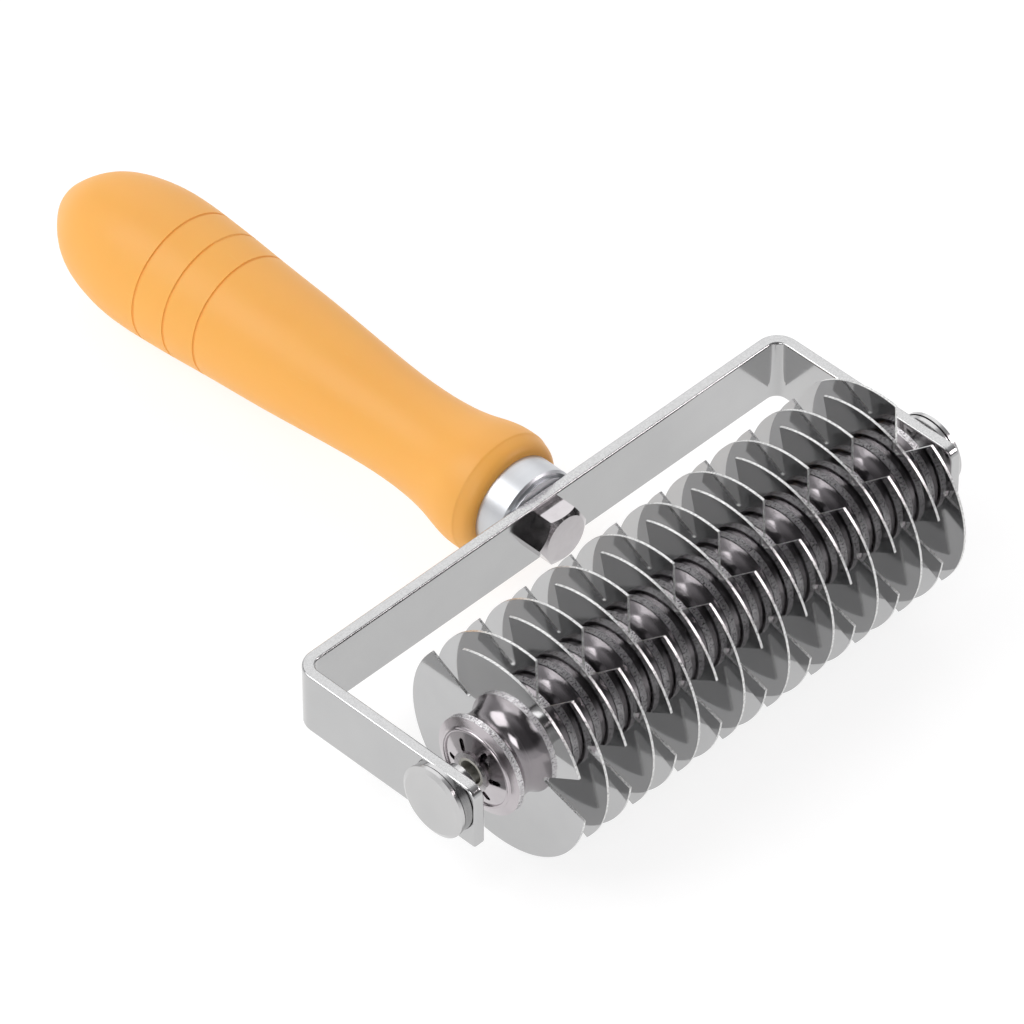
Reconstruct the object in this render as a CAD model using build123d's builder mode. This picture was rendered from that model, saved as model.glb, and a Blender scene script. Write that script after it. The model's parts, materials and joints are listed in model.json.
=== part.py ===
from build123d import *
import math
import os

os.makedirs("parts", exist_ok=True)

# Lattice pastry cutter: a roller of notched discs in a bent strip frame with a handle.
# X runs along the roller axis, Y from the roller to the butt of the handle, and Z is up.
# The origin is on the roller axis, half way between the arms. All sizes are in millimetres.

# ---- driving dimensions ----------------------------------------------------------

# bent strip frame
FRAME_WIDTH = 120.0
STRIP_THICKNESS = 2.3
STRIP_HEIGHT = 13.0
CROSSBAR_BACK = 36.1
ARM_REACH = 8.3
BEND_INNER_RADIUS = 2.2
ARM_TOP_CORNER_RADIUS = 2.5
ARM_BOTTOM_CORNER_RADIUS = 0.6
EDGE_SOFTENING = 0.4

# notched discs
DISC_COUNT = 18
DISC_PITCH = 5.53
DISC_THICKNESS = 0.5
DISC_RADIUS = 20.5
NOTCHES_PER_DISC = 3
NOTCH_WIDTH_ANGLE = 26.1
NOTCH_VERTEX_RADIUS = 9.9
NOTCH_ROUNDING = 0.8
ODD_DISC_TURN = 82.7
EVEN_DISC_TURN = 22.7

# spacers between the discs
RIM_RADIUS = 9.65
RIM_WIDTH = 1.4
BAND_RADIUS = 9.2
BAND_WIDTH = 0.6
GROOVE_FLOOR_RADIUS = 8.7
GROOVE_WIDTH = 0.2
NECK_TOP_RADIUS = 9.35
NECK_RADIUS = 8.65
FOOT_RADIUS = 8.4
CORE_RADIUS = 3.5
CORE_BORE_RADIUS = 2.9

# end spools, caps and the swaged ends of the core tube
END_NECK_LENGTH = 3.35
END_RIM_WIDTH = 1.2
FACE_RISE = 0.55
FACE_INNER_RADIUS = 8.2
LIP_RISE = 1.0
LIP_OUTER_RADIUS = 8.0
LIP_INNER_RADIUS = 7.3
RECESS_DEPTH = 2.6
CAP_THICKNESS = 0.7
CAP_RISE = 0.6
CAP_SLOTS = 6
SLOT_WIDTH = 1.1
SLOT_INNER_RADIUS = 3.8
SLOT_OUTER_RADIUS = 6.1
FIRST_SLOT_TURN = 56.0
HUB_STAND_OUT = 0.4
HUB_FLARE_RADIUS = 3.9

# journal pins, washers, collars and bushes
JOURNAL_RADIUS = 1.5
RUNNING_CLEARANCE = 0.05
BUSH_LENGTH = 12.0
JOURNAL_LENGTH = 10.5
SHANK_RADIUS = 2.5
HEAD_RADIUS = 7.05
HEAD_THICKNESS = 1.15
HEAD_FACE_RADIUS = 6.2
HEAD_CHAMFER_HEIGHT = 0.45
BOSS_RADIUS = 6.0
BOSS_HEIGHT = 0.25
HEAD_WASHER_RADIUS = 6.9
HEAD_WASHER_THICKNESS = 0.8
COLLAR_RADIUS = 3.7
COLLAR_LENGTH = 2.8

# rest position of the roller on its loose pins
ROLLER_SLIDE = 1.04
HOLDER_DROP = 0.76

# bolt and the threaded insert
BOLT_RADIUS = 3.0
BOLT_LENGTH = 35.4
BOLT_TIP_CHAMFER = 0.6
BOLT_CLEARANCE_RADIUS = 3.2
HEX_ACROSS_FLATS = 10.0
HEX_HEIGHT = 4.4
HEX_FACE_RADIUS = 4.5
HEX_CHAMFER_RADIUS = 6.0
HEX_CHAMFER_HEIGHT = 0.9
INSERT_RADIUS = 4.5
INSERT_LENGTH = 22.0
INSERT_GROOVE_DEPTH = 0.5
INSERT_GROOVE_WIDTH = 2.0
INSERT_FLOOR = 1.0

# ferrule
FERRULE_RADIUS = 9.35
FERRULE_FACE_RADIUS = 8.95
FERRULE_EDGE_LENGTH = 0.4
FERRULE_BOSS_RADIUS = 8.2
FERRULE_BOSS_HEIGHT = 0.5
FERRULE_BAND_LENGTH = 5.7
TENON_RADIUS = 7.0
TENON_LENGTH = 9.0

# handle
HANDLE_END = 155.2
MOUTH_RADIUS = 9.6
SHOULDER_PLACE = 47.2
SHOULDER_RADIUS = 12.0
BUTT_PLACE = 131.5
BUTT_RADIUS = 13.5
# radius and place of the grip between shoulder and butt, and of its three grooves
GRIP_STATIONS = ((10.7, 54.5), (9.45, 69.0), (10.3, 83.0), (11.55, 98.0))
GROOVE_STATIONS = ((12.34, 110.4), (12.89, 117.7), (13.32, 125.0))
GRIP_GROOVE_RADIUS = 0.3
QUARTER_STEPS = 4

# ---- derived places --------------------------------------------------------------

ARM_OUTER = FRAME_WIDTH / 2
ARM_INNER = ARM_OUTER - STRIP_THICKNESS
CROSSBAR_FRONT = CROSSBAR_BACK - STRIP_THICKNESS
FIRST_DISC = -DISC_PITCH * (DISC_COUNT - 1) / 2
SPACER_LENGTH = DISC_PITCH - DISC_THICKNESS
STACK_END = DISC_THICKNESS / 2 - FIRST_DISC
RIM_START = STACK_END + END_NECK_LENGTH
RIM_END = RIM_START + END_RIM_WIDTH
LIP_END = RIM_END + LIP_RISE
CAP_END = LIP_END + CAP_RISE
HUB_END = CAP_END + HUB_STAND_OUT
HEAD_WASHER_END = ARM_OUTER + HEAD_WASHER_THICKNESS
HEAD_SEAT = HEAD_WASHER_END + BOSS_HEIGHT
HEAD_END = HEAD_SEAT + HEAD_THICKNESS
COLLAR_END = ARM_INNER - COLLAR_LENGTH
JOURNAL_END = HUB_END - JOURNAL_LENGTH
FERRULE_FRONT = CROSSBAR_BACK + FERRULE_BOSS_HEIGHT
HANDLE_FRONT = FERRULE_FRONT + FERRULE_BAND_LENGTH
TENON_END = HANDLE_FRONT + TENON_LENGTH
INSERT_END = TENON_END + INSERT_LENGTH

SIDES = {"left": -1, "right": 1}
# the holder hangs in the roller's loose bushes, and the roller lies towards the right arm
ON_HOLDER = Location((0, 0, -HOLDER_DROP))
ON_ROLLER = Location((ROLLER_SLIDE, 0, 0))


def save(piece, name, shift):
    """Move a finished piece to its rest place, label it and write it to its own file."""
    placed = piece.moved(shift)
    placed.label = name
    export_step(placed, f"parts/{name}.step")


def turned(points, axis):
    """Solid turned from a closed outline of points in the XY plane."""
    with BuildPart() as body:
        with BuildSketch(Plane.XY):
            with BuildLine():
                Polyline(*points, close=True)
            make_face()
        revolve(axis=axis)
    return body.part


def ring_on_x(start, end, outer, inner):
    """Ring around the roller axis from one X place to another."""
    outline = [(start, inner), (start, outer), (end, outer), (end, inner)]
    return turned(outline, Axis.X)


# ---- frame -----------------------------------------------------------------------


def u_outline(half_width, back, corner):
    """Flat shape with rounded back corners, open towards -Y."""
    front = -ARM_REACH
    with BuildSketch() as shape:
        with Locations((0, (back + front) / 2)):
            Rectangle(2 * half_width, back - front)
        fillet(shape.vertices().group_by(Axis.Y)[-1], corner)
    return shape.sketch


def make_frame():
    """Flat strip bent to a U, with a pin hole in each arm and the bolt hole."""
    outer_corner = BEND_INNER_RADIUS + STRIP_THICKNESS
    with BuildPart() as frame:
        with BuildSketch(Plane.XY.offset(-STRIP_HEIGHT / 2)):
            add(u_outline(ARM_OUTER, CROSSBAR_BACK, outer_corner))
            add(u_outline(ARM_INNER, CROSSBAR_FRONT, BEND_INNER_RADIUS), mode=Mode.SUBTRACT)
        extrude(amount=STRIP_HEIGHT)
        end_edges = frame.edges().filter_by(Axis.X).group_by(Axis.Y)[0].group_by(Axis.Z)
        fillet(end_edges[-1], ARM_TOP_CORNER_RADIUS)
        end_edges = frame.edges().filter_by(Axis.X).group_by(Axis.Z)[0]
        fillet(end_edges.group_by(Axis.Y)[0], ARM_BOTTOM_CORNER_RADIUS)
        top_and_bottom = frame.faces().filter_by(Axis.Z)
        fillet(top_and_bottom.edges(), EDGE_SOFTENING)
        with BuildSketch(Plane.YZ.offset(-ARM_OUTER)):
            Circle(SHANK_RADIUS)
        extrude(amount=FRAME_WIDTH, mode=Mode.SUBTRACT)
        with BuildSketch(Plane.XZ.offset(-CROSSBAR_BACK)):
            Circle(BOLT_CLEARANCE_RADIUS)
        extrude(amount=STRIP_THICKNESS, mode=Mode.SUBTRACT)
    return frame.part


# ---- roller ----------------------------------------------------------------------


def notch_outline():
    """V-shaped notch with a rounded floor, opening along +Y of its sketch."""
    half = math.radians(NOTCH_WIDTH_ANGLE / 2)
    mouth_x = DISC_RADIUS * math.sin(half)
    mouth_y = DISC_RADIUS * math.cos(half)
    overrun = 1.3
    far_x = mouth_x * overrun
    far_y = NOTCH_VERTEX_RADIUS + (mouth_y - NOTCH_VERTEX_RADIUS) * overrun
    with BuildSketch() as notch:
        with BuildLine():
            Polyline((0, NOTCH_VERTEX_RADIUS), (far_x, far_y), (-far_x, far_y), close=True)
        make_face()
        fillet(notch.vertices().sort_by(Axis.Y)[0], NOTCH_ROUNDING)
    return notch.sketch


def make_disc(place, turn):
    """Thin cutting disc with evenly spaced notches, centred on an X place."""
    with BuildPart() as disc:
        with BuildSketch(Plane.YZ.offset(place - DISC_THICKNESS / 2)):
            Circle(DISC_RADIUS)
            with PolarLocations(0, NOTCHES_PER_DISC, start_angle=turn):
                add(notch_outline(), mode=Mode.SUBTRACT)
            Circle(CORE_RADIUS, mode=Mode.SUBTRACT)
        extrude(amount=DISC_THICKNESS)
    return disc.part


def make_spacer(start):
    """Spacer from one disc to the next: plain band, fine groove, rim and a neck that narrows."""
    band_end = start + BAND_WIDTH
    rim_start = band_end + GROOVE_WIDTH
    rim_end = rim_start + RIM_WIDTH
    end = start + SPACER_LENGTH
    neck_middle = (rim_end + end) / 2
    with BuildPart() as spacer:
        with BuildSketch(Plane.XY):
            with BuildLine():
                Polyline(
                    (end, FOOT_RADIUS),
                    (end, CORE_RADIUS),
                    (start, CORE_RADIUS),
                    (start, BAND_RADIUS),
                    (band_end, BAND_RADIUS),
                    (band_end, GROOVE_FLOOR_RADIUS),
                    (rim_start, GROOVE_FLOOR_RADIUS),
                    (rim_start, RIM_RADIUS),
                    (rim_end, RIM_RADIUS),
                    (rim_end, NECK_TOP_RADIUS),
                )
                ThreePointArc(
                    (rim_end, NECK_TOP_RADIUS),
                    (neck_middle, NECK_RADIUS),
                    (end, FOOT_RADIUS),
                )
            make_face()
        revolve(axis=Axis.X)
    return spacer.part


def make_end_spool(side):
    """Spool that closes the stack, with a rim, a rolled lip and a recess for the cap."""
    neck_middle = STACK_END + END_NECK_LENGTH / 2
    recess_floor = LIP_END - RECESS_DEPTH
    lip_middle = (LIP_INNER_RADIUS + LIP_OUTER_RADIUS) / 2
    lip_bulge = (LIP_OUTER_RADIUS - LIP_INNER_RADIUS) / 2
    lip_base = LIP_END - lip_bulge
    with BuildPart() as spool:
        with BuildSketch(Plane.XY):
            with BuildLine():
                ThreePointArc(
                    (side * STACK_END, FOOT_RADIUS),
                    (side * neck_middle, NECK_RADIUS),
                    (side * RIM_START, RIM_RADIUS),
                )
                Polyline(
                    (side * RIM_START, RIM_RADIUS),
                    (side * RIM_END, RIM_RADIUS),
                    (side * (RIM_END + FACE_RISE), FACE_INNER_RADIUS),
                    (side * lip_base, LIP_OUTER_RADIUS),
                )
                ThreePointArc(
                    (side * lip_base, LIP_OUTER_RADIUS),
                    (side * LIP_END, lip_middle),
                    (side * lip_base, LIP_INNER_RADIUS),
                )
                Polyline(
                    (side * lip_base, LIP_INNER_RADIUS),
                    (side * recess_floor, LIP_INNER_RADIUS),
                    (side * recess_floor, CORE_RADIUS),
                    (side * STACK_END, CORE_RADIUS),
                    (side * STACK_END, FOOT_RADIUS),
                )
            make_face()
        revolve(axis=Axis.X)
    return spool.part


def make_end_cap(side):
    """Shallow cone that closes an end spool, with radial slots around the hub."""
    rim_face = LIP_END - CAP_THICKNESS / 2
    outline = [
        (side * rim_face, LIP_INNER_RADIUS),
        (side * CAP_END, CORE_RADIUS),
        (side * (CAP_END - CAP_THICKNESS), CORE_RADIUS),
        (side * (rim_face - CAP_THICKNESS), LIP_INNER_RADIUS),
    ]
    slot_middle = (SLOT_INNER_RADIUS + SLOT_OUTER_RADIUS) / 2
    slot_length = SLOT_OUTER_RADIUS - SLOT_INNER_RADIUS
    slot_back = min(side * (LIP_END - RECESS_DEPTH), side * CAP_END)
    with BuildPart() as cap:
        add(turned(outline, Axis.X))
        with BuildSketch(Plane.YZ.offset(slot_back)):
            with PolarLocations(slot_middle, CAP_SLOTS, start_angle=FIRST_SLOT_TURN):
                SlotOverall(slot_length, SLOT_WIDTH)
        extrude(amount=RECESS_DEPTH + CAP_RISE, mode=Mode.SUBTRACT)
    return cap.part


def make_core_tube():
    """Tube that carries the stack, its ends swaged over the caps."""
    outline = [
        (-HUB_END, CORE_BORE_RADIUS),
        (-HUB_END, HUB_FLARE_RADIUS),
        (-CAP_END, CORE_RADIUS),
        (CAP_END, CORE_RADIUS),
        (HUB_END, HUB_FLARE_RADIUS),
        (HUB_END, CORE_BORE_RADIUS),
    ]
    return turned(outline, Axis.X)


# ---- bearings --------------------------------------------------------------------


def make_pin(side):
    """Journal pin: chamfered round head, low boss, shank through the arm, and journal."""
    with BuildPart() as pin:
        with BuildSketch(Plane.XY):
            with BuildLine():
                Polyline(
                    (side * JOURNAL_END, 0),
                    (side * JOURNAL_END, JOURNAL_RADIUS),
                    (side * COLLAR_END, JOURNAL_RADIUS),
                    (side * COLLAR_END, SHANK_RADIUS),
                    (side * HEAD_WASHER_END, SHANK_RADIUS),
                    (side * HEAD_WASHER_END, BOSS_RADIUS),
                    (side * HEAD_SEAT, BOSS_RADIUS),
                    (side * HEAD_SEAT, HEAD_RADIUS),
                    (side * (HEAD_END - HEAD_CHAMFER_HEIGHT), HEAD_RADIUS),
                    (side * HEAD_END, HEAD_FACE_RADIUS),
                    (side * HEAD_END, 0),
                    close=True,
                )
            make_face()
        revolve(axis=Axis.X)
    return pin.part


# ---- bolt, ferrule and handle ----------------------------------------------------


def make_hex_bolt():
    """Hexagon bolt from the crossbar into the handle, its outer face chamfered."""
    hex_front = CROSSBAR_FRONT - HEX_HEIGHT
    chamfer_profile = [
        (0, hex_front),
        (HEX_FACE_RADIUS, hex_front),
        (HEX_CHAMFER_RADIUS, hex_front + HEX_CHAMFER_HEIGHT),
        (HEX_CHAMFER_RADIUS, CROSSBAR_FRONT),
        (0, CROSSBAR_FRONT),
    ]
    with BuildPart() as bolt:
        with BuildSketch(Plane.XZ.offset(-CROSSBAR_FRONT)):
            RegularPolygon(HEX_ACROSS_FLATS / 2, 6, major_radius=False)
        extrude(amount=HEX_HEIGHT)
        add(turned(chamfer_profile, Axis.Y), mode=Mode.INTERSECT)
        with BuildSketch(Plane.XZ.offset(-CROSSBAR_FRONT)):
            Circle(BOLT_RADIUS)
        extrude(amount=-BOLT_LENGTH)
        shank_tip = bolt.edges().filter_by(GeomType.CIRCLE).sort_by(Axis.Y)[-1]
        chamfer(shank_tip, BOLT_TIP_CHAMFER)
    return bolt.part


def insert_lands():
    """Start and end of the insert's three full-width lands."""
    step = INSERT_LENGTH / 3
    half_groove = INSERT_GROOVE_WIDTH / 2
    ends = [TENON_END]
    for groove in (1, 2):
        middle = TENON_END + groove * step
        ends += [middle - half_groove, middle + half_groove]
    ends.append(INSERT_END)
    return list(zip(ends[0::2], ends[1::2]))


def make_insert():
    """Threaded insert moulded into the handle, with two retaining grooves."""
    waist = INSERT_RADIUS - INSERT_GROOVE_DEPTH
    with BuildPart() as insert:
        with BuildSketch(Plane.XZ.offset(-TENON_END)):
            Circle(waist)
        extrude(amount=-INSERT_LENGTH)
        for start, end in insert_lands():
            with BuildSketch(Plane.XZ.offset(-start)):
                Circle(INSERT_RADIUS)
            extrude(amount=start - end)
        with BuildSketch(Plane.XZ.offset(-TENON_END)):
            Circle(BOLT_RADIUS)
        extrude(amount=INSERT_FLOOR - INSERT_LENGTH, mode=Mode.SUBTRACT)
    return insert.part


def make_ferrule():
    """Metal cap between crossbar and handle, with a tenon inside the handle."""
    outline = [
        (BOLT_CLEARANCE_RADIUS, CROSSBAR_BACK),
        (FERRULE_BOSS_RADIUS, CROSSBAR_BACK),
        (FERRULE_BOSS_RADIUS, FERRULE_FRONT),
        (FERRULE_FACE_RADIUS, FERRULE_FRONT),
        (FERRULE_RADIUS, FERRULE_FRONT + FERRULE_EDGE_LENGTH),
        (FERRULE_RADIUS, HANDLE_FRONT),
        (TENON_RADIUS, HANDLE_FRONT),
        (TENON_RADIUS, TENON_END),
        (BOLT_CLEARANCE_RADIUS, TENON_END),
    ]
    return turned(outline, Axis.Y)


def quarter_ellipse(start, end, centre):
    """Smooth quarter of an ellipse between two points that share its centre."""
    to_start = Vector(start) - Vector(centre)
    to_end = Vector(end) - Vector(centre)
    points = []
    for step in range(QUARTER_STEPS + 1):
        angle = math.radians(90 * step / QUARTER_STEPS)
        points.append(Vector(centre) + to_start * math.cos(angle) + to_end * math.sin(angle))
    return Spline(*points, tangents=(to_end, to_start * -1))


def cut_bore(radius, start, end):
    """Take a bore's half section out of the sketch being built."""
    with Locations((radius / 2, (start + end) / 2)):
        Rectangle(radius, end - start, mode=Mode.SUBTRACT)


def make_handle():
    """Turned grip: rounded shoulder, waist, three fine grooves and a rounded butt."""
    with BuildPart() as handle:
        with BuildSketch(Plane.XY):
            with BuildLine():
                Line((0, HANDLE_FRONT), (MOUTH_RADIUS, HANDLE_FRONT))
                quarter_ellipse(
                    start=(MOUTH_RADIUS, HANDLE_FRONT),
                    end=(SHOULDER_RADIUS, SHOULDER_PLACE),
                    centre=(MOUTH_RADIUS, SHOULDER_PLACE),
                )
                Spline(
                    (SHOULDER_RADIUS, SHOULDER_PLACE),
                    *GRIP_STATIONS,
                    *GROOVE_STATIONS,
                    (BUTT_RADIUS, BUTT_PLACE),
                    tangents=((0, 1), (0, 1)),
                )
                quarter_ellipse(
                    start=(BUTT_RADIUS, BUTT_PLACE),
                    end=(0, HANDLE_END),
                    centre=(0, BUTT_PLACE),
                )
                Line((0, HANDLE_END), (0, HANDLE_FRONT))
            make_face()
            with Locations(*GROOVE_STATIONS):
                Circle(GRIP_GROOVE_RADIUS, mode=Mode.SUBTRACT)
            cut_bore(TENON_RADIUS, HANDLE_FRONT, TENON_END)
            cut_bore(INSERT_RADIUS - INSERT_GROOVE_DEPTH, TENON_END, INSERT_END)
            for start, end in insert_lands():
                cut_bore(INSERT_RADIUS, start, end)
        revolve(axis=Axis.Y)
    return handle.part


# ---- write every piece -----------------------------------------------------------

save(make_frame(), "frame", ON_HOLDER)

for number in range(1, DISC_COUNT + 1):
    disc_place = FIRST_DISC + (number - 1) * DISC_PITCH
    disc_turn = ODD_DISC_TURN if number % 2 else EVEN_DISC_TURN
    save(make_disc(disc_place, disc_turn), f"disc_{number:02d}", ON_ROLLER)
    if number < DISC_COUNT:
        save(make_spacer(disc_place + DISC_THICKNESS / 2), f"spacer_{number:02d}", ON_ROLLER)

save(make_core_tube(), "core_tube", ON_ROLLER)

for side_name, sign in SIDES.items():
    hub_end = sign * HUB_END
    bush_inner_end = sign * (HUB_END - BUSH_LENGTH)
    bush_bore = JOURNAL_RADIUS + HOLDER_DROP + RUNNING_CLEARANCE
    arm_outer = sign * ARM_OUTER
    arm_inner = sign * ARM_INNER
    bush = ring_on_x(bush_inner_end, hub_end, CORE_BORE_RADIUS, bush_bore)
    washer = ring_on_x(arm_outer, sign * HEAD_WASHER_END, HEAD_WASHER_RADIUS, SHANK_RADIUS)
    collar = ring_on_x(sign * COLLAR_END, arm_inner, COLLAR_RADIUS, SHANK_RADIUS)
    save(make_end_spool(sign), f"{side_name}_end_spool", ON_ROLLER)
    save(make_end_cap(sign), f"{side_name}_end_cap", ON_ROLLER)
    save(bush, f"{side_name}_bush", ON_ROLLER)
    save(make_pin(sign), f"{side_name}_journal_pin", ON_HOLDER)
    save(washer, f"{side_name}_head_washer", ON_HOLDER)
    save(collar, f"{side_name}_collar", ON_HOLDER)

save(make_hex_bolt(), "hex_bolt", ON_HOLDER)
save(make_insert(), "threaded_insert", ON_HOLDER)
save(make_ferrule(), "ferrule", ON_HOLDER)
save(make_handle(), "handle", ON_HOLDER)
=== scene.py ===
import json
import math

import bpy
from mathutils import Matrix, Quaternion, Vector


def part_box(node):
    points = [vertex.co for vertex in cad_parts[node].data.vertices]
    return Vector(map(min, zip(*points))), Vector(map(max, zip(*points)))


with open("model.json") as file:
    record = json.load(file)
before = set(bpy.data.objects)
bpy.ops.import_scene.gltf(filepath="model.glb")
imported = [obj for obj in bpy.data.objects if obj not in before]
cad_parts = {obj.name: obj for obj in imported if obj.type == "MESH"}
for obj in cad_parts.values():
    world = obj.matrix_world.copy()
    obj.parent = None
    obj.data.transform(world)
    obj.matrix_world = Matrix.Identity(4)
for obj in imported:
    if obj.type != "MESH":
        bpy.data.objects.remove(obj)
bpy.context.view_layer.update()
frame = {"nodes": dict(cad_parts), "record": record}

MM = 0.001
disc_low, disc_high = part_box("disc_01")
handle_low, handle_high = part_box("handle")
RIM_RADIUS = 9.65 * MM
STRIP_HALF_HEIGHT = 6.5 * MM
# how far the holder's own axes lie below the roller's
HOLDER_DROP = -(handle_low.z + handle_high.z) / 2


# ---- node helpers ----


class Nodes:
    """One node tree with short calls for the nodes that the materials here are made of."""

    def __init__(self, tree):
        self.tree = tree

    def add(self, kind, **settings):
        node = self.tree.nodes.new("ShaderNode" + kind)
        for name, value in settings.items():
            setattr(node, name, value)
        return node

    def put(self, socket, value):
        """Link an output socket to an input, or set a plain value on it."""
        if isinstance(value, bpy.types.NodeSocket):
            self.tree.links.new(value, socket)
        elif isinstance(value, (tuple, list)) and len(value) == 3 and socket.type == "RGBA":
            socket.default_value = (*value, 1.0)
        else:
            socket.default_value = value

    def math(self, operation, a, b=0.0):
        node = self.add("Math", operation=operation)
        self.put(node.inputs[0], a)
        self.put(node.inputs[1], b)
        return node.outputs[0]

    def vector(self, operation, a, b):
        node = self.add("VectorMath", operation=operation)
        self.put(node.inputs[0], a)
        self.put(node.inputs[1], b)
        return node.outputs["Value" if operation == "DOT_PRODUCT" else "Vector"]

    def remap(self, value, low, high, to_low=0.0, to_high=1.0):
        """Value between low and high, spread smoothly over to_low to to_high."""
        node = self.add("MapRange", interpolation_type="SMOOTHSTEP")
        for index, item in enumerate((value, low, high, to_low, to_high)):
            self.put(node.inputs[index], item)
        return node.outputs[0]

    def mixed(self, data_type, factor, a, b):
        """Output of a mix of a and b. Only the sockets of its own data type are enabled."""
        node = self.add("Mix", data_type=data_type)
        for name, item in (("Factor", factor), ("A", a), ("B", b)):
            sockets = [s for s in node.inputs if s.name == name and s.enabled]
            self.put(sockets[0], item)
        return [s for s in node.outputs if s.enabled][0]

    def mix(self, factor, a, b):
        """Colour a where factor is 0, b where it is 1."""
        return self.mixed("RGBA", factor, a, b)

    def blend(self, factor, a, b):
        """Number a where factor is 0, b where it is 1."""
        return self.mixed("FLOAT", factor, a, b)

    def noise(self, vector, scale, detail=3.0, roughness=0.55, distortion=0.0):
        node = self.add("TexNoise")
        self.put(node.inputs["Vector"], vector)
        node.inputs["Scale"].default_value = scale
        node.inputs["Detail"].default_value = detail
        node.inputs["Roughness"].default_value = roughness
        node.inputs["Distortion"].default_value = distortion
        return node.outputs["Fac"]

    def cells(self, vector, scale):
        node = self.add("TexVoronoi", feature="F1")
        self.put(node.inputs["Vector"], vector)
        node.inputs["Scale"].default_value = scale
        return node.outputs["Distance"]

    def stretch(self, vector, factors):
        return self.vector("MULTIPLY", vector, factors)

    def bump(self, height, distance, strength=1.0, after=None):
        node = self.add("Bump")
        node.inputs["Strength"].default_value = strength
        node.inputs["Distance"].default_value = distance
        self.put(node.inputs["Height"], height)
        if after is not None:
            self.put(node.inputs["Normal"], after)
        return node.outputs[0]


def new_material(name):
    """A material, its node helper, its Principled shader and the object's own coordinates."""
    material = bpy.data.materials.new(name)
    material.use_nodes = True
    tree = material.node_tree
    tree.nodes.clear()
    n = Nodes(tree)
    output = n.add("OutputMaterial")
    shader = n.add("BsdfPrincipled")
    tree.links.new(shader.outputs[0], output.inputs[0])
    place = n.add("TexCoord").outputs["Object"]
    return material, n, shader, place


def from_axis(n, place, axis, drop=0.0):
    """Distance from a line along X or Y, a drop below the origin, and the place along it."""
    split = n.add("SeparateXYZ")
    n.put(split.inputs[0], place)
    x, y, z = split.outputs
    along, across = (x, y) if axis == "X" else (y, x)
    up = n.math("ADD", z, drop)
    squares = n.math("ADD", n.math("MULTIPLY", across, across), n.math("MULTIPLY", up, up))
    return n.math("SQRT", squares), along


def ring_place(n, along, radius):
    """A place that only changes along an axis and away from it, for turned grain."""
    rings = n.add("CombineXYZ")
    n.put(rings.inputs[0], along)
    n.put(rings.inputs[1], radius)
    return rings.outputs[0]


def facing_x(n):
    """How far the surface faces along X, 0 to 1, either way."""
    split = n.add("SeparateXYZ")
    n.put(split.inputs[0], n.add("NewGeometry").outputs["True Normal"])
    return n.math("ABSOLUTE", split.outputs[0])


def weighted(n, first, first_weight, second, second_weight):
    """Sum of two heights or roughnesses, each times its weight."""
    first_part = n.math("MULTIPLY", first, first_weight)
    return n.math("ADD", first_part, n.math("MULTIPLY", second, second_weight))


def make_disc_steel():
    """Mirror-polished face with faint turning and scratches, and a cut edge with painted glints:
    its colour swings from dark grey to near white.
    """
    material, n, shader, place = new_material("polished_disc_steel")
    radius, _ = from_axis(n, place, "X")
    cut_edge = n.remap(facing_x(n), 0.9, 0.4)
    worn = n.remap(radius, 19.6 * MM, 20.5 * MM)
    cloud = n.noise(place, 120.0, 4.0)
    fine = n.noise(place, 2600.0, 3.0, 0.7)
    turned = n.noise(ring_place(n, 0.0, radius), 5200.0, 2.0, 0.8)
    scratches = n.noise(n.stretch(place, (1.0, 0.06, 1.0)), 2400.0, 2.0, 0.7)
    face = n.mix(cloud, (0.475, 0.475, 0.48), (0.53, 0.53, 0.53))
    # painted glints: the cut edge's colour swings from dark grey to near white, brighter than
    # steel, standing in for sparkle of light
    edge = n.mix(n.remap(fine, 0.3, 0.7), (0.42, 0.42, 0.42), (0.86, 0.86, 0.85))
    n.put(shader.inputs["Base Color"], n.mix(cut_edge, face, edge))
    face_rough = weighted(n, n.remap(cloud, 0.3, 0.7, 0.035, 0.075), 1.0, worn, 0.04)
    edge_rough = n.remap(fine, 0.3, 0.7, 0.24, 0.42)
    n.put(shader.inputs["Roughness"], n.blend(cut_edge, face_rough, edge_rough))
    shader.inputs["Metallic"].default_value = 1.0
    height = n.blend(cut_edge, weighted(n, turned, 0.03, scratches, 0.03), fine)
    n.put(shader.inputs["Normal"], n.bump(height, 0.02 * MM, 0.6))
    return material


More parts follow.
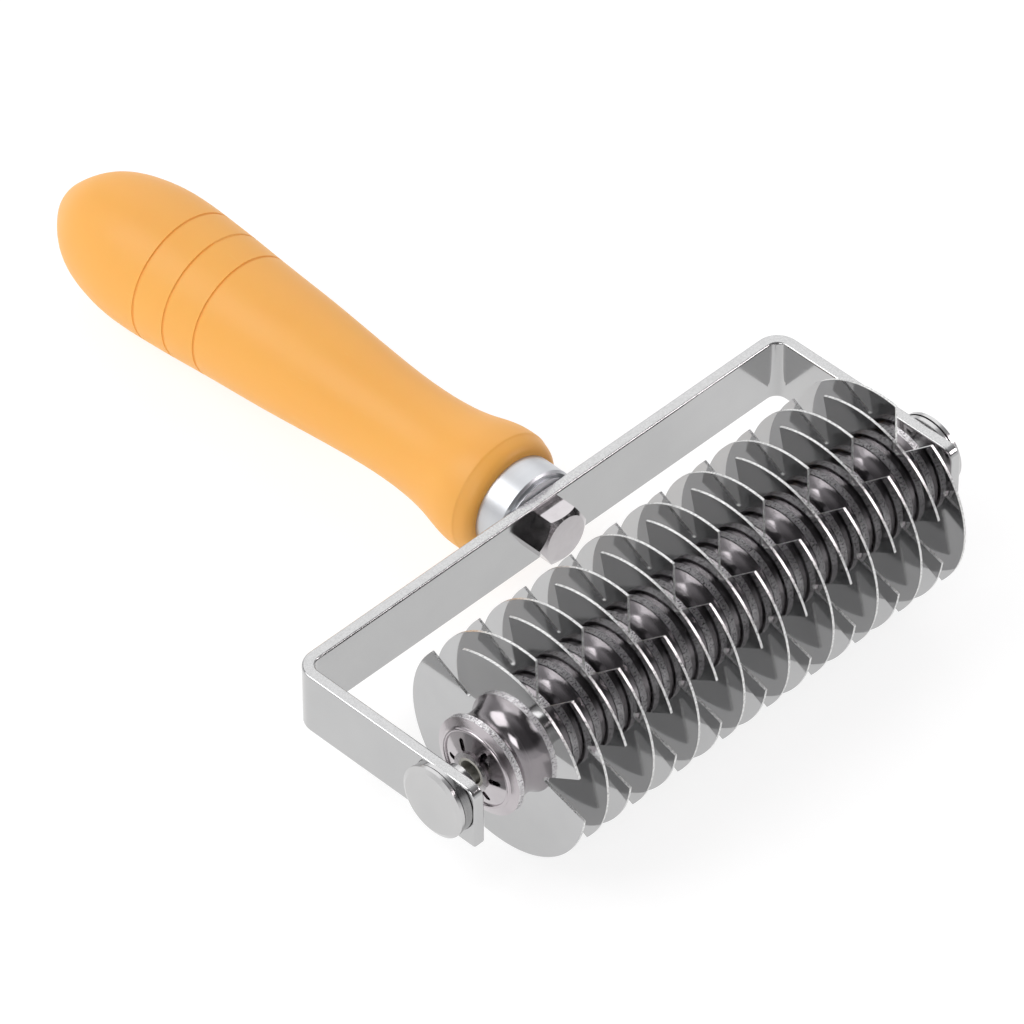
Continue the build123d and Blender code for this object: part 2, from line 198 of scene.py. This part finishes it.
def make_spacer_steel():
    """Smooth neck with a faint purple tint painted in as reflected pinkish light, and a torn rim
    whose bright and dark sparkle is painted glints in its colour.
    """
    material, n, shader, place = new_material("turned_spacer_steel")
    radius, _ = from_axis(n, place, "X")
    outermost = n.remap(radius, 9.48 * MM, RIM_RADIUS - 0.05 * MM)
    rim = n.math("MULTIPLY", outermost, n.remap(facing_x(n), 0.6, 0.3))
    sheared = n.noise(n.stretch(place, (0.6, 1.0, 1.0)), 3600.0, 4.0, 0.75, 0.4)
    pits = n.cells(place, 2300.0)
    cloud = n.noise(place, 260.0, 3.0)
    lathe = n.noise(n.stretch(place, (1.0, 0.02, 0.02)), 5000.0, 2.0, 0.7)
    # painted reflection: the neck's grey is tinted purple, standing in for the pinkish light it
    # reflects
    neck_grey_and_painted_tint = n.mix(cloud, (0.46, 0.425, 0.445), (0.56, 0.525, 0.54))
    # painted glints: the rim's colour swings from dark to near white, standing in for sparkle of
    # light on the torn metal
    rim_glint_colour = n.mix(n.remap(sheared, 0.36, 0.58), (0.34, 0.32, 0.34), (0.97, 0.95, 0.96))
    n.put(shader.inputs["Base Color"], n.mix(rim, neck_grey_and_painted_tint, rim_glint_colour))
    neck_rough = n.remap(cloud, 0.3, 0.7, 0.16, 0.23)
    rim_rough = n.remap(sheared, 0.3, 0.7, 0.22, 0.42)
    n.put(shader.inputs["Roughness"], n.blend(rim, neck_rough, rim_rough))
    shader.inputs["Metallic"].default_value = 1.0
    torn = weighted(n, sheared, 1.0, pits, 0.5)
    height = n.blend(rim, n.math("MULTIPLY", lathe, 0.004), torn)
    n.put(shader.inputs["Normal"], n.bump(height, 0.10 * MM, 0.9))
    return material


def make_cap_steel():
    """Polished cap with a soft cloud and faint turning."""
    material, n, shader, place = new_material("cap_steel")
    cloud = n.noise(place, 300.0, 3.0)
    lathe = n.noise(n.stretch(place, (1.0, 0.05, 0.05)), 4000.0, 2.0)
    n.put(shader.inputs["Base Color"], n.mix(cloud, (0.47, 0.44, 0.46), (0.58, 0.55, 0.56)))
    n.put(shader.inputs["Roughness"], n.remap(cloud, 0.3, 0.7, 0.08, 0.16))
    shader.inputs["Metallic"].default_value = 1.0
    n.put(shader.inputs["Normal"], n.bump(lathe, 0.008 * MM, 0.5))
    return material


def make_strip_steel():
    """Polished strip with fine rolled grain and a duller, speckled cut edge above and below."""
    material, n, shader, place = new_material("strip_steel")
    split = n.add("SeparateXYZ")
    n.put(split.inputs[0], place)
    height_from_middle = n.math("ABSOLUTE", n.math("ADD", split.outputs[2], HOLDER_DROP))
    edge = n.remap(height_from_middle, STRIP_HALF_HEIGHT - 0.4 * MM, STRIP_HALF_HEIGHT - 0.05 * MM)
    cloud = n.noise(place, 90.0, 4.0)
    rolled = n.noise(n.stretch(place, (0.05, 0.05, 1.0)), 2600.0, 3.0, 0.65)
    speckle = n.noise(place, 3400.0, 2.0, 0.6)
    face = n.mix(cloud, (0.475, 0.475, 0.478), (0.53, 0.53, 0.53))
    edge_colour = n.mix(n.remap(speckle, 0.3, 0.7), (0.46, 0.46, 0.46), (0.56, 0.56, 0.56))
    n.put(shader.inputs["Base Color"], n.mix(edge, face, edge_colour))
    cloud_rough = n.remap(cloud, 0.3, 0.7, 0.07, 0.12)
    face_rough = n.math("ADD", cloud_rough, n.remap(rolled, 0.3, 0.7, 0.0, 0.04))
    edge_rough = n.remap(speckle, 0.3, 0.7, 0.20, 0.30)
    n.put(shader.inputs["Roughness"], n.blend(edge, face_rough, edge_rough))
    shader.inputs["Metallic"].default_value = 1.0
    height = weighted(n, rolled, 0.5, speckle, 0.2)
    n.put(shader.inputs["Normal"], n.bump(height, 0.003 * MM, 0.5))
    return material


def make_handle_plastic():
    """Satin orange plastic with a fine grain, soft moulding ripple and pale scuffs."""
    material, n, shader, place = new_material("handle_plastic")
    cloud = n.noise(place, 55.0, 4.0)
    grain = n.noise(place, 3000.0, 3.0, 0.6)
    ripple = n.noise(n.stretch(place, (1.0, 0.35, 1.0)), 260.0, 2.0)
    streaks = n.noise(n.stretch(place, (1.0, 0.12, 1.0)), 900.0, 3.0, 0.75)
    scuffs = n.remap(streaks, 0.62, 0.78)
    body = n.mix(cloud, (0.86, 0.40, 0.075), (0.91, 0.45, 0.095))
    worn_body = n.mix(n.math("MULTIPLY", scuffs, 0.18), body, (0.92, 0.56, 0.20))
    n.put(shader.inputs["Base Color"], worn_body)
    rough = n.math("ADD", n.remap(cloud, 0.3, 0.7, 0.42, 0.50), n.math("MULTIPLY", scuffs, 0.10))
    n.put(shader.inputs["Roughness"], rough)
    shader.inputs["Specular IOR Level"].default_value = 0.42
    shader.inputs["Subsurface Weight"].default_value = 0.12
    shader.inputs["Subsurface Radius"].default_value = (0.004, 0.0018, 0.0006)
    shader.inputs["Subsurface Scale"].default_value = 1.0
    fine = n.bump(grain, 0.02 * MM, 0.5)
    n.put(shader.inputs["Normal"], n.bump(ripple, 0.02 * MM, 0.35, after=fine))
    return material


def make_ferrule_aluminium():
    """Satin turned aluminium."""
    material, n, shader, place = new_material("ferrule_aluminium")
    radius, along = from_axis(n, place, "Y", HOLDER_DROP)
    cloud = n.noise(place, 150.0, 3.0)
    turned = n.noise(ring_place(n, along, radius), 3600.0, 2.0, 0.6)
    n.put(shader.inputs["Base Color"], n.mix(cloud, (0.56, 0.575, 0.60), (0.64, 0.65, 0.665)))
    n.put(shader.inputs["Roughness"], n.remap(turned, 0.3, 0.7, 0.34, 0.42))
    shader.inputs["Metallic"].default_value = 1.0
    n.put(shader.inputs["Normal"], n.bump(turned, 0.006 * MM, 0.5))
    return material


def make_bolt_steel():
    """Bright bolt with small dents, its grey tinted faintly purple as painted reflection of
    pinkish light.
    """
    material, n, shader, place = new_material("bolt_steel")
    cloud = n.noise(place, 420.0, 4.0)
    dents = n.cells(place, 650.0)
    fine = n.noise(place, 3600.0, 2.0)
    # painted reflection: the grey is tinted purple, standing in for pinkish reflected light
    n.put(shader.inputs["Base Color"], n.mix(cloud, (0.47, 0.445, 0.455), (0.60, 0.575, 0.585)))
    n.put(shader.inputs["Roughness"], n.remap(cloud, 0.3, 0.7, 0.11, 0.20))
    shader.inputs["Metallic"].default_value = 1.0
    base = n.bump(dents, 0.025 * MM, 0.3)
    n.put(shader.inputs["Normal"], n.bump(fine, 0.006 * MM, 0.5, after=base))
    return material


def make_pin_steel():
    """Satin turned steel of the pins, their washers and collars."""
    material, n, shader, place = new_material("pin_steel")
    radius, along = from_axis(n, place, "X", HOLDER_DROP)
    cloud = n.noise(place, 140.0, 4.0)
    turned = n.noise(ring_place(n, along, radius), 3800.0, 2.0, 0.7)
    n.put(shader.inputs["Base Color"], n.mix(cloud, (0.50, 0.50, 0.50), (0.58, 0.575, 0.575)))
    rough = n.math("ADD", n.remap(cloud, 0.3, 0.7, 0.14, 0.20), n.math("MULTIPLY", turned, 0.06))
    n.put(shader.inputs["Roughness"], rough)
    shader.inputs["Metallic"].default_value = 1.0
    n.put(shader.inputs["Normal"], n.bump(turned, 0.006 * MM, 0.5))
    return material


def make_plain_metal(name, dark, light, rough):
    """A turned metal of the hidden pieces."""
    material, n, shader, place = new_material(name)
    cloud = n.noise(place, 200.0, 3.0)
    fine = n.noise(place, 3000.0, 2.0)
    n.put(shader.inputs["Base Color"], n.mix(cloud, dark, light))
    n.put(shader.inputs["Roughness"], n.remap(cloud, 0.3, 0.7, rough, rough + 0.1))
    shader.inputs["Metallic"].default_value = 1.0
    n.put(shader.inputs["Normal"], n.bump(fine, 0.01 * MM, 0.5))
    return material


def make_bush_polymer():
    """Pale moulded polymer of the hidden bushes."""
    material, n, shader, place = new_material("bush_polymer")
    cloud = n.noise(place, 200.0, 3.0)
    fine = n.noise(place, 3000.0, 2.0)
    n.put(shader.inputs["Base Color"], n.mix(cloud, (0.62, 0.60, 0.54), (0.70, 0.69, 0.63)))
    n.put(shader.inputs["Roughness"], n.remap(cloud, 0.3, 0.7, 0.45, 0.55))
    n.put(shader.inputs["Normal"], n.bump(fine, 0.01 * MM, 0.5))
    return material


FINISHES = {
    "polished_disc_steel": make_disc_steel(),
    "turned_spacer_steel": make_spacer_steel(),
    "tube_steel": make_plain_metal("tube_steel", (0.42, 0.40, 0.41), (0.54, 0.52, 0.53), 0.2),
    "cap_steel": make_cap_steel(),
    "bush_polymer": make_bush_polymer(),
    "strip_steel": make_strip_steel(),
    "handle_plastic": make_handle_plastic(),
    "ferrule_aluminium": make_ferrule_aluminium(),
    "insert_brass": make_plain_metal("insert_brass", (0.60, 0.42, 0.16), (0.75, 0.55, 0.24), 0.24),
    "bolt_steel": make_bolt_steel(),
    "pin_steel": make_pin_steel(),
}
for part in frame["record"]["subparts"]:
    for holder in frame["nodes"][part["node"]].material_slots:
        holder.material = FINISHES[part["material_slot"]]


# ---- floor: the plane that the discs and the butt of the handle rest on ----

DISC_RADIUS = max(-disc_low.z, disc_high.z)
BUTT_RADIUS = (handle_high.z - handle_low.z) / 2
BUTT_PLACE = 131.5 * MM  # where the handle is thickest
tilt = math.asin((DISC_RADIUS - BUTT_RADIUS - HOLDER_DROP) / BUTT_PLACE)
floor_normal = Vector((0.0, -math.sin(tilt), math.cos(tilt)))
FLOOR_GAP = 0.05 * MM
FLOOR_HALF = 6.0
floor_mesh = bpy.data.meshes.new("floor")
floor_mesh.from_pydata(
    [(x * FLOOR_HALF, y * FLOOR_HALF, 0.0) for x, y in ((-1, -1), (1, -1), (1, 1), (-1, 1))],
    [],
    [(0, 1, 2, 3)],
)
floor = bpy.data.objects.new("floor", floor_mesh)
floor.rotation_mode = "QUATERNION"
floor.rotation_quaternion = floor_normal.to_track_quat("Z", "Y")
floor.location = -floor_normal * (DISC_RADIUS + FLOOR_GAP)
bpy.context.scene.collection.objects.link(floor)
floor_material, n, shader, place = new_material("floor_paper")
paper = n.mix(n.noise(place, 40.0), (0.27, 0.27, 0.27), (0.30, 0.30, 0.30))
n.put(shader.inputs["Base Color"], paper)
shader.inputs["Roughness"].default_value = 0.9
shader.inputs["Specular IOR Level"].default_value = 0.1
shader.inputs["Emission Color"].default_value = (1.0, 1.0, 1.0, 1.0)
shader.inputs["Emission Strength"].default_value = 0.80
floor_mesh.materials.append(floor_material)


# ---- camera ----

AZIMUTH = math.radians(-45.017)
ELEVATION = math.radians(43.494)
ROLL = math.radians(-0.163)
VIEW_AXIS = Vector((0.0, 0.0, 1.0))
CAMERA_DISTANCE = 1.5545
LENS = 313.43
target = Vector((-0.00196, 0.0407, -0.00076))
back = Vector(
    (
        math.sin(AZIMUTH) * math.cos(ELEVATION),
        -math.cos(AZIMUTH) * math.cos(ELEVATION),
        math.sin(ELEVATION),
    )
)
camera_data = bpy.data.cameras.new("camera")
camera_data.sensor_width = 36.0
camera_data.lens = LENS
camera = bpy.data.objects.new("camera", camera_data)
camera.location = target + back * CAMERA_DISTANCE
camera.rotation_mode = "QUATERNION"
camera.rotation_quaternion = (-back).to_track_quat("-Z", "Y") @ Quaternion(VIEW_AXIS, ROLL)
bpy.context.scene.collection.objects.link(camera)
bpy.context.scene.camera = camera


# ---- light ----

LIT_PLACE = Vector((0.0, 0.04, 0.0))


def softbox(name, direction, distance, size, power, colour=(1.0, 1.0, 1.0)):
    """A square studio light that faces the object from a direction."""
    data = bpy.data.lights.new(name, "AREA")
    data.size = size
    data.energy = power
    data.color = colour
    lamp = bpy.data.objects.new(name, data)
    aim = Vector(direction).normalized()
    lamp.location = LIT_PLACE + aim * distance
    lamp.rotation_mode = "QUATERNION"
    lamp.rotation_quaternion = aim.to_track_quat("Z", "Y")
    bpy.context.scene.collection.objects.link(lamp)


# name, direction from the object, distance and side in metres, power in watts
softbox("key_light", (-0.55, 0.45, 0.75), 1.6, 1.1, 13.0)
softbox("back_light", (0.52, 0.52, 0.70), 1.8, 1.7, 7.5)
softbox("side_light", (0.62, -0.62, 0.52), 1.5, 0.35, 4.0, (1.0, 0.93, 0.95))
softbox("front_light", (-0.8, -0.35, 0.5), 1.6, 0.6, 5.0)

world = bpy.data.worlds.new("studio")
world.use_nodes = True
world.node_tree.nodes.clear()
n = Nodes(world.node_tree)
world_output = n.add("OutputWorld")
sky = n.add("Background")
world.node_tree.links.new(sky.outputs[0], world_output.inputs[0])
direction = n.add("TexCoord").outputs["Generated"]
split = n.add("SeparateXYZ")
n.put(split.inputs[0], direction)
above = n.remap(split.outputs[2], 0.12, 0.40)
behind = n.remap(n.vector("DOT_PRODUCT", direction, (0.5, 0.65, 0.57)), 0.1, 0.9)
upper = n.mix(behind, (0.12, 0.118, 0.122), (0.55, 0.55, 0.56))
n.put(sky.inputs[0], n.mix(above, (0.85, 0.85, 0.86), upper))
bpy.context.scene.world = world
bpy.context.scene.view_settings.view_transform = "Standard"
bpy.context.scene.cycles.glossy_bounces = 8
